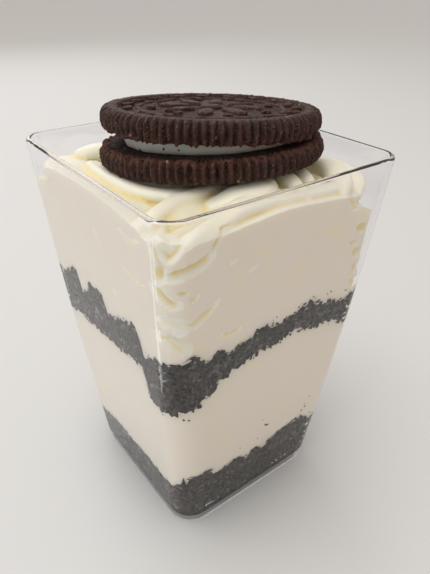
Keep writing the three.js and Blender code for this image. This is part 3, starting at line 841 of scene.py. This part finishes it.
# %% [markdown]
# ## Sandwich biscuit
#
# Each wafer is a disc with fluted sides. The flutes curl over a round shoulder and run out on
# the stamped face, and the flat face inside has a rough, broken edge. The two wafers lean
# differently, so each is modelled level and then laid on the plane of its flat face.

# %% Model a plain wafer
THICKNESS = 4.25
FLUTES = 90
FLUTE_POINTS = 8
FLUTE_DEPTH = 0.95
SHOULDER = 2.4  # where the flutes begin to curl over
LOWER_WAFER = {"at": (1.5, -0.2, 86.4), "lean": (0.014, 0.108), "radius": 22.5, "face": 20.6}
UPPER_WAFER = {"at": (1.7, 0.1, 88.33), "lean": (0.068, 0.078), "radius": 21.8, "face": 20.4}
BAND_INSIDE, SUNK = 18.4, 0.8
# the broken edge and the side: inset, share of the flutes' depth, height, wear, salt
SIDE_RINGS = [
    (2.1, 0, 0, 0.3, 0), (1.6, 0, 0.02, 0.7, 0), (1.15, 0.3, 0.02, 0.9, 0.1),
    (0.7, 0.5, 0.06, 0.95, 0.2), (0.3, 0.8, 0.26, 0.85, 0.4), (0.1, 1, 0.54, 0.6, 0.6),
    (0, 1, 0.86, 0.4, 0.8), (0, 1, 1.2, 0.2, 1), (0, 1, 1.6, 0.1, 1.2), (0, 1, 2, 0, 0),
    (0, 1, SHOULDER, 0, 0),
]
INNER_SHARES = (0.1, 0.4, 0.7, 0.82, 0.88)
FIELD_SHARES = (0.94, 0.9, 0.86, 0.8, 0.74, 0.66, 0.58, 0.5, 0.42, 0.34, 0.24, 0.12, 0.04)


def wafer_ring(radius, depth, height, wear=0.0, salt=0.0):
    """A fluted ring. `wear` breaks it inwards unevenly."""
    count = FLUTES * FLUTE_POINTS
    ring = []
    for number in range(count):
        angle = 2 * math.pi * number / count
        x, y = math.cos(angle), math.sin(angle)
        flute = 2 * math.pi * (number % FLUTE_POINTS) / FLUTE_POINTS
        groove = (0.5 + 0.5 * math.cos(flute)) ** 1.4
        worn = wear * (0.5 + uneven(x, y, 14, salt) + 0.6 * uneven(x, y, 45, salt))
        reach = radius - depth * groove - max(worn, 0)
        ring.append((reach * x, reach * y, height + 0.7 * wear * uneven(x, y, 38, 3)))
    return ring


def wafer_rings(radius, face, sunk, salt):
    """From the middle of the flat face, round the side, to the middle of the stamped face."""
    rings = [wafer_ring(radius * share, 0, 0) for share in INNER_SHARES]
    rings += [wafer_ring(radius - inset, FLUTE_DEPTH * flutes, height, wear, salt + more_salt)
              for inset, flutes, height, wear, more_salt in SIDE_RINGS]
    for step in range(1, 6):
        angle = math.radians(18 * step)
        out = mix(face - 0.6, radius, math.cos(angle) ** 0.8)
        depth = FLUTE_DEPTH * (1 - (step / 5) ** 3)
        rings.append(wafer_ring(out, depth, SHOULDER + (THICKNESS - SHOULDER) * math.sin(angle)))
    rings.append(wafer_ring(BAND_INSIDE + 0.5, 0, THICKNESS))
    level = THICKNESS - (SUNK if sunk else 0)
    if sunk:
        rings += [wafer_ring(BAND_INSIDE + out, 0, height) for out, height in
                  ((0.1, THICKNESS - 0.08), (-0.2, level + 0.12), (-0.6, level))]
    return rings + [wafer_ring(BAND_INSIDE * share, 0, level) for share in FIELD_SHARES]


def lay_wafer(piece, at, lean, upside_down):
    """Turns a level wafer onto its leaning plane."""
    turn = Vector((0, 0, 1)).rotation_difference(Vector((lean[0], lean[1], 1)).normalized())
    matrix = Matrix.Translation(Vector(at) * MM) @ turn.to_matrix().to_4x4()
    if upside_down:
        matrix = matrix @ Matrix.Rotation(math.pi, 4, "X")
    piece.data.transform(matrix)


lower_wafer, upper_wafer = (
    stack_rings(name, wafer_rings(pose["radius"], pose["face"], sunk, salt))
    for name, pose, sunk, salt in (("lower_wafer", LOWER_WAFER, False, 1.0),
                                   ("upper_wafer", UPPER_WAFER, True, 2.0))
)
print("two wafers of", THICKNESS, "mm")

# %% [markdown]
# The stamped face carries a raised pattern: slanted leaves, a thin ring, dots, eight petals and
# a button. Each shape is modelled once, as a disc with a round edge that stands in the sunk field,
# and then copied round the middle.

# %% Stamp the pattern
STAMP_TOP = THICKNESS - 0.12
STAMP_DEPTH = 1.2
# half length, half width, copies, reach, slant, share of a step that the first is turned by
STAMPS = [
    (1.75, 0.72, 18, 16.7, 52, 0),  # leaves
    (3.4, 1.35, 8, 7.4, 0, 0),  # petals
    (0.95, 0.95, 8, 11.9, 0, 0.5),  # dots
    (2.2, 2.2, 1, 0, 0, 0),  # button
]
THIN_RING = {"major_radius": 14.4 * MM, "minor_radius": 0.42 * MM, "major_segments": 120,
             "minor_segments": 10}


def stamp_shape(half_length, half_width):
    """A pad with an oval outline and a rounded upper edge, its foot below the field."""
    pad = add(bpy.ops.mesh.primitive_cylinder_add, vertices=28, radius=MM, depth=STAMP_DEPTH * MM)
    pad.data.transform(Matrix.Diagonal((half_length, half_width, 1, 1)))
    pad.data.transform(Matrix.Translation((0, 0, (STAMP_TOP - STAMP_DEPTH / 2) * MM)))
    bpy.ops.object.mode_set(mode="EDIT")
    bpy.ops.mesh.select_all(action="DESELECT")
    mesh = bmesh.from_edit_mesh(pad.data)
    for face in mesh.faces:
        face.select_set(face.normal.z > 0.9)
    bmesh.update_edit_mesh(pad.data)
    bpy.ops.mesh.bevel(offset=min(half_width * 0.45, 0.5) * MM, segments=3)
    bpy.ops.object.mode_set(mode="OBJECT")
    return pad


def copies_round(shape, count, reach, slant, first):
    """Copies of one shape, turned by `slant` and set evenly on a circle."""
    made = []
    for number in range(count):
        twin = shape.copy()
        twin.data = shape.data.copy()
        bpy.context.scene.collection.objects.link(twin)
        angle = 2 * math.pi * (number + first) / count
        twin.data.transform(
            Matrix.Rotation(angle, 4, "Z") @ Matrix.Translation((reach * MM, 0, 0))
            @ Matrix.Rotation(math.radians(slant), 4, "Z")
        )
        made.append(twin)
    bpy.data.objects.remove(shape)
    return made


stamps = [twin for half_length, half_width, *places in STAMPS
          for twin in copies_round(stamp_shape(half_length, half_width), *places)]
stamp_ring = add(bpy.ops.mesh.primitive_torus_add, **THIN_RING)
stamp_ring.data.transform(Matrix.Translation((0, 0, (THICKNESS - SUNK + 0.02) * MM)))
upper_wafer = join("upper_wafer", [upper_wafer, stamp_ring] + stamps)

# %% [markdown]
# Baked dough is never quite smooth, so both wafers get a fine uneven surface from two Displace
# modifiers before they are laid in place. The height over the flat face is kept as `from_flat`,
# because the broken edge there is redder than the baked skin, and `inside` marks the flat face
# itself, which is painted darker: painted shade in the gap between the wafers.

# %% Roughen the wafers and lay them in place
dough_lumps = texture("dough lumps", "CLOUDS", 1.6)
dough_grit = texture("dough grit", "CLOUDS", 0.34, noise_depth=3, contrast=1.6)
for wafer, pose, upside_down in (
    (lower_wafer, LOWER_WAFER, True), (upper_wafer, UPPER_WAFER, False),
):
    displace(wafer, dough_lumps, 0.22)
    displace(wafer, dough_grit, 0.34)
    for corner in wafer.data.vertices:
        corner.co.z = min(corner.co.z, THICKNESS * MM)  # the stamp presses the face level
    heights = [corner.co.z / MM for corner in wafer.data.vertices]
    reaches = [corner.co.xy.length / MM for corner in wafer.data.vertices]
    # the flat face is painted darker as shade in the gap between the wafers, and that painted
    # shade ends here
    rim = pose["radius"] - 2.6  # the darkened flat face ends here
    keep(wafer, "from_flat", heights)
    keep(wafer, "inside", [1 - ease(height, 0.2, 0.6) - ease(reach, rim, rim + 1.2)
                           for height, reach in zip(heights, reaches)])
    lay_wafer(wafer, pose["at"], pose["lean"], upside_down)
    smooth(wafer, 45)

# %% [markdown]
# ## Filling
#
# The white filling is a pressed disc, smaller than the wafers, with an uneven bulging edge. It
# sticks to both flat faces, which aren't parallel, so its rings are laid between the two planes.

# %% Model the filling
FILLING_RADIUS = 17.6
FILLING_POINTS = 180
FILLING_MIDDLE = 1.6  # its centre's place along x
STUCK = 0.06  # how far it reaches into each wafer
# how far out past the radius, share of the height, how far the edge wanders
FILLING_PROFILE = [(-8.8, 0, 0), (-0.75, 0, 1), (-0.3, 0.08, 1), (-0.02, 0.3, 1), (0.1, 0.55, 1),
                   (0, 0.8, 1), (-0.2, 1, 1), (-8.8, 1, 0)]


def flat_face(wafer, x, y):
    """Height of a wafer's flat face over a place."""
    at, lean = wafer["at"], wafer["lean"]
    return at[2] - lean[0] * (x - at[0]) - lean[1] * (y - at[1])


def filling_ring(radius, share, wander):
    ring = []
    for number in range(FILLING_POINTS):
        angle = 2 * math.pi * number / FILLING_POINTS
        x, y = math.cos(angle), math.sin(angle)
        reach = radius + wander * (0.5 * uneven(x, y, 4, 1) + 0.25 * uneven(x, y, 12, 2))
        x, y = FILLING_MIDDLE + reach * x, reach * y
        low, high = flat_face(LOWER_WAFER, x, y) - STUCK, flat_face(UPPER_WAFER, x, y) + STUCK
        ring.append((x, y, mix(low, high, share)))
    return ring


filling = stack_rings("filling", [filling_ring(FILLING_RADIUS + out, share, wander)
                                  for out, share, wander in FILLING_PROFILE])
smooth(filling, 60)

# %% [markdown]
# ## Loose crumbs
#
# Single grains stray from the bands along the wall. A rough grain is an icosphere pushed out of
# shape. Each has its own size and shape, and all of them are joined into one piece for each band.

# %% Scatter loose crumbs
STRAY_INTO_WALL = 0.05
HALF_BAND = 23  # half of a face's width at the bands, roughly


def on_wall(face, along, height):
    """A place on the inside of the wall."""
    inner = cup_half(height) - WALL + STRAY_INTO_WALL
    return Vector((along, -inner, height) if face == "right" else (-inner, along, height))


def grain(place, radius, seed):
    piece = add(bpy.ops.mesh.primitive_ico_sphere_add, subdivisions=1, radius=radius * MM)
    for corner in piece.data.vertices:
        corner.co *= 1 + 0.6 * noise.noise(corner.co / MM / radius * 1.3 + Vector((seed, 0, 0)))
    piece.data.transform(Matrix.Translation(Vector(place) * MM))
    return piece


# face, along, height, radius
STRAY_MIDDLE = [
    ("right", -22.3, 40.6, 0.3), ("right", -21.2, 40, 0.22), ("right", 9, 58.4, 0.24),
    ("right", 9.6, 57.8, 0.16), ("right", 13.3, 57.4, 0.2), ("right", 14.4, 57.6, 0.26),
    ("right", 19.4, 56, 0.24), ("right", -1.1, 57.4, 0.2), ("right", -2, 57, 0.16),
    ("left", -19.6, 40, 0.24),
]
STRAY_BASE = [
    ("right", 1.2, 23.9, 0.42), ("right", 1.8, 23.5, 0.3), ("right", 13.6, 21, 0.34),
    ("right", 14.5, 21.9, 0.34), ("right", 14.2, 22.9, 0.2), ("right", 15.6, 24.9, 0.26),
    ("right", -0.1, 26.4, 0.16), ("right", -6.2, 20.6, 0.2), ("right", -0.8, 20.2, 0.2),
]


def scatter(name, strays, stops, chance):
    """The listed strays, and seeded grains along the lines between layers."""
    grains = [grain(on_wall(face, along, height), radius, number)
              for number, (face, along, height, radius) in enumerate(strays)]
    for number in range(chance):
        face = random.choice(("right", "left"))
        along = random.uniform(-21, 21)
        share = (HALF_BAND + (along if face == "right" else -along)) / (2 * HALF_BAND)
        line = random.choice(stops)
        height = line_height(line, share + 3 * (face == "left")) + random.gauss(0, 0.45)
        radius = random.uniform(0.14, 0.3)
        grains.append(grain(on_wall(face, along, height), radius, number))
    piece = join(name, grains)
    count_faces(piece)
    return piece


loose_middle = scatter("loose_crumbs_middle", STRAY_MIDDLE,
                       [CRUMB_MIDDLE_BOTTOM, CRUMB_MIDDLE_TOP], 80)
loose_base = scatter("loose_crumbs_base", STRAY_BASE, [CRUMB_BASE_TOP], 40)

# %% [markdown]
# ## Materials
#
# Every finish is made from nodes that read the object's own coordinates in metres, so that a
# pattern keeps its real size and stays put in every view. Two effects come up in several
# finishes, and each is a node group: `speckle` gives scattered small spots, and `grit` gives a
# fine uneven height.

# %% Helpers for nodes
def new_material(name):
    made = bpy.data.materials.new(name)
    made.use_nodes = True
    return made, made.node_tree


def feed(tree, socket, value):
    """Links a socket to another one, or gives it a plain value."""
    if isinstance(value, bpy.types.NodeSocket):
        tree.links.new(value, socket)
    elif socket.type == "RGBA":
        socket.default_value = (*value, 1)
    else:
        socket.default_value = value


def set_inputs(tree, node, inputs):
    for name, value in inputs.items():
        feed(tree, node.inputs[name], value)


def add_node(tree, kind, inputs, **settings):
    """Adds a node, sets its options, and sets or links its inputs."""
    node = tree.nodes.new(kind)
    for name, value in settings.items():
        setattr(node, name, value)
    set_inputs(tree, node, inputs)
    return node


def pattern(tree, kind, scale, **inputs):
    """A pattern node in the object's own coordinates."""
    place = add_node(tree, "ShaderNodeTexCoord", {}).outputs["Object"]
    return add_node(tree, kind, {"Vector": place, "Scale": scale, **inputs}).outputs


def clouds(tree, scale, **inputs):
    return pattern(tree, "ShaderNodeTexNoise", scale, **inputs)["Fac"]


def part_of(tree, colour, number):
    """One of a colour's three parts: a random colour gives random numbers."""
    return add_node(tree, "ShaderNodeSeparateColor", {"Color": colour}).outputs[number]


def measured(tree, name):
    """A value that was kept with the mesh."""
    return add_node(tree, "ShaderNodeAttribute", {}, attribute_name=name).outputs["Fac"]


def colour_mix(tree, share, first, second):
    inputs = {0: share, 6: first, 7: second}
    return add_node(tree, "ShaderNodeMix", inputs, data_type="RGBA").outputs[2]


def math_node(tree, operation, first, second):
    return add_node(tree, "ShaderNodeMath", {0: first, 1: second}, operation=operation).outputs[0]


def ramp(tree, value, low, high):
    """0 below low and 1 above high, with a smooth step between."""
    inputs = {"Value": value, "From Min": low, "From Max": high}
    return add_node(tree, "ShaderNodeMapRange", inputs,
                    interpolation_type="SMOOTHSTEP").outputs["Result"]


# %% [markdown]
# `speckle` reads a cell pattern: each cell has a random colour, and only cells whose random value
# passes a limit show a spot, of a size that is a share of the cell.

# %% Build the speckle and grit groups
def new_group(name, inputs, output):
    """A node group, what it is given and the socket for its result."""
    group = bpy.data.node_groups.new(name, "ShaderNodeTree")
    for socket, value in inputs.items():
        made = group.interface.new_socket(socket, in_out="INPUT", socket_type="NodeSocketFloat")
        made.default_value = value
    group.interface.new_socket(output, in_out="OUTPUT", socket_type="NodeSocketFloat")
    given, result = group.nodes.new("NodeGroupInput"), group.nodes.new("NodeGroupOutput")
    return group, given.outputs, result.inputs[0]


speckle, given, result = new_group(
    "speckle", {"Cells per metre": 1000, "Rarity": 0.8, "Size": 0.3}, "Mask"
)
cells = pattern(speckle, "ShaderNodeTexVoronoi", given[0])
chance = part_of(speckle, cells["Color"], 0)
chosen = math_node(speckle, "GREATER_THAN", chance, given[1])
near = math_node(speckle, "LESS_THAN", cells["Distance"], given[2])
feed(speckle, result, math_node(speckle, "MULTIPLY", chosen, near))

grit, given, result = new_group(
    "grit", {"Grains per metre": 1500, "Lumps per metre": 300}, "Height"
)
grains, lumps = clouds(grit, given[0], Detail=4), clouds(grit, given[1], Detail=2)
feed(grit, result, math_node(grit, "ADD", grains, lumps))


def use_group(tree, group, *values):
    return add_node(tree, "ShaderNodeGroup", dict(enumerate(values)), node_tree=group).outputs[0]


def add_speckles(tree, base, *spots):
    """Lays speckles over a colour: cells per metre, rarity, size and colour of each kind."""
    for *values, colour in spots:
        base = colour_mix(tree, use_group(tree, speckle, *values), base, colour)
    return base


def finish(tree, base, grains, lumps, strength, depth, plain):
    """Gives the shader its colour, a gritty bump and its plain values."""
    bump = add_node(tree, "ShaderNodeBump", {
        "Height": use_group(tree, grit, grains, lumps), "Strength": strength,
        "Distance": depth * MM,
    })
    set_inputs(tree, tree.nodes["Principled BSDF"],
               {"Base Color": base, "Normal": bump.outputs["Normal"], **plain})


print("node groups:", speckle.name, grit.name)

# %% [markdown]
# ### Cream
#
# Whipped cream is milky: light goes in, scatters and comes out warm, which the shader's
# subsurface part does. Its colour wanders between ivory and a yellower tone.

# %% Cream material
cream, tree = new_material("whipped cream")
wander = ramp(tree, clouds(tree, 90, Detail=3), 0.45, 0.75)
free = colour_mix(tree, wander, (0.92, 0.89, 0.77), (0.90, 0.85, 0.69))
smear = ramp(tree, clouds(tree, 130, Detail=2, Distortion=1.5), 0.56, 0.74)
# pressed cream is painted a greyer beige as painted shade of its faces on the walls, with yellower
# smears at random
pressed_shade_and_smears = colour_mix(tree, smear, (0.84, 0.765, 0.66), (0.86, 0.775, 0.60))
base = colour_mix(tree, measured(tree, "pressed"), free, pressed_shade_and_smears)
# creases are painted yellow: painted shade where light reaches only through the cream
base = colour_mix(tree, measured(tree, "crease"), base, (0.88, 0.74, 0.36))
finish(tree, base, 2600, 500, 0.12, 0.25, {
    "Roughness": 0.5, "Subsurface Weight": 0.5, "Subsurface Radius": (1.0, 0.8, 0.45),
    "Subsurface Scale": 2.2 * MM,
})

# %% [markdown]
# ### Crumbs, biscuit and filling
#
# All three are baked or pressed sugar and flour. The crumbs are a grey brown, and near-black
# spots in them are painted shade in the pores; the biscuit is darker and warmer, with a few pale
# tan specks; the filling is off-white, but is painted grey here as shade in the gap between the
# wafers, with rare specks of crumb.

# %% Crumb material
crumb, tree = new_material("biscuit crumbs")
cell = pattern(tree, "ShaderNodeTexVoronoi", 1500)["Color"]
base = colour_mix(tree, part_of(tree, cell, 1), (0.020, 0.016, 0.014), (0.078, 0.064, 0.056))
# the near-black spots are painted shade in the pores between the grains; the reddish ones are
# grains of their own colour
base = add_speckles(tree, base, (1100, 0.55, 0.46, (0.006, 0.004, 0.004)),
                    (900, 0.93, 0.4, (0.15, 0.075, 0.055)))
finish(tree, base, 3000, 1200, 0.6, 0.4, {"Roughness": 0.9, "Specular IOR Level": 0.15})

# %% Biscuit material
biscuit, tree = new_material("chocolate biscuit")
bake = clouds(tree, 420, Detail=5)
base = colour_mix(tree, ramp(tree, bake, 0.35, 0.7), (0.024, 0.0096, 0.0080),
                  (0.058, 0.0225, 0.0168))
# the limit between baked skin and broken edge wanders with the bake
height = math_node(tree, "ADD", measured(tree, "from_flat"),
                   math_node(tree, "MULTIPLY", bake, -1.6))
broken = math_node(tree, "SUBTRACT", 1.0, ramp(tree, height, -0.7, 0.4))
base = colour_mix(tree, broken, base, (0.085, 0.032, 0.022))
# the flat face is painted near-black: painted shade in the gap between the wafers
inside = ramp(tree, measured(tree, "inside"), 0, 1)
base = colour_mix(tree, inside, base, (0.014, 0.006, 0.005))
base = add_speckles(tree, base, (1900, 0.62, 0.4, (0.009, 0.004, 0.0035)),
                    (800, 0.93, 0.22, (0.38, 0.25, 0.18)),
                    (2200, 0.82, 0.34, (0.16, 0.062, 0.042)))
finish(tree, base, 3200, 1300, 0.9, 0.4, {"Roughness": 0.62, "Specular Tint": (1, 0.78, 0.72)})

# %% Filling material
sugar, tree = new_material("biscuit filling")
# the filling is painted grey: painted shade of the gap between the wafers over its off-white
# colour
base = add_speckles(tree, (0.46, 0.43, 0.37), (700, 0.9, 0.25, (0.05, 0.03, 0.025)))
finish(tree, base, 2200, 600, 0.2, 0.2,
       {"Roughness": 0.55, "Subsurface Weight": 0.2, "Subsurface Scale": 1 * MM})

# %% [markdown]
# ### Clear plastic
#
# Moulded polystyrene bends light strongly and reflects the room. Shadow rays pass straight
# through, because tracing them as they bend would take far more samples than it is worth.

# %% Clear plastic material
plastic, tree = new_material("clear plastic")
shader = tree.nodes["Principled BSDF"]
set_inputs(tree, shader, {
    "Base Color": (0.97, 0.965, 0.985), "Roughness": 0.02, "IOR": 1.52, "Transmission Weight": 1.0,
})
path = add_node(tree, "ShaderNodeLightPath", {}).outputs
skip = math_node(tree, "MAXIMUM", path["Is Shadow Ray"], path["Is Diffuse Ray"])
clear = add_node(tree, "ShaderNodeBsdfTransparent", {"Color": (0.96, 0.96, 0.97)})
blend = add_node(tree, "ShaderNodeMixShader", {0: skip, 1: shader.outputs[0], 2: clear.outputs[0]})
feed(tree, tree.nodes["Material Output"].inputs["Surface"], blend.outputs[0])

# %% Floor material
pale_floor, tree = new_material("pale floor")
set_inputs(tree, tree.nodes["Principled BSDF"],
           {"Base Color": (0.72, 0.73, 0.75), "Roughness": 0.7})
floor.data.materials.append(pale_floor)

# %% [markdown]
# ## Attach the pieces
#
# Each piece rides on the one body of the dessert and stands for the solid that it replaces.

# %% Ride and replace
PIECES = [
    (clear_cup, plastic, "clear_plastic", "cup"),
    (crumbs_base, crumb, "biscuit_crumbs", "crumb_base"),
    (lower_cream, cream, "whipped_cream", "cream_lower"),
    (crumbs_middle, crumb, "biscuit_crumbs", "crumb_middle"),
    (cream_mass, cream, "whipped_cream", "cream_upper"),
    (lower_wafer, biscuit, "chocolate_biscuit", "wafer_lower"),
    (filling, sugar, "biscuit_filling", "cookie_filling"),
    (upper_wafer, biscuit, "chocolate_biscuit", "wafer_upper"),
    (loose_middle, crumb, "biscuit_crumbs", None),
    (loose_base, crumb, "biscuit_crumbs", None),
]
for piece, material, slot, node in PIECES:
    piece.data.materials.clear()
    piece.data.materials.append(material)
    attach(piece, "root")
    if node:
        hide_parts(node)
print("handed over", len(PIECES), "pieces")
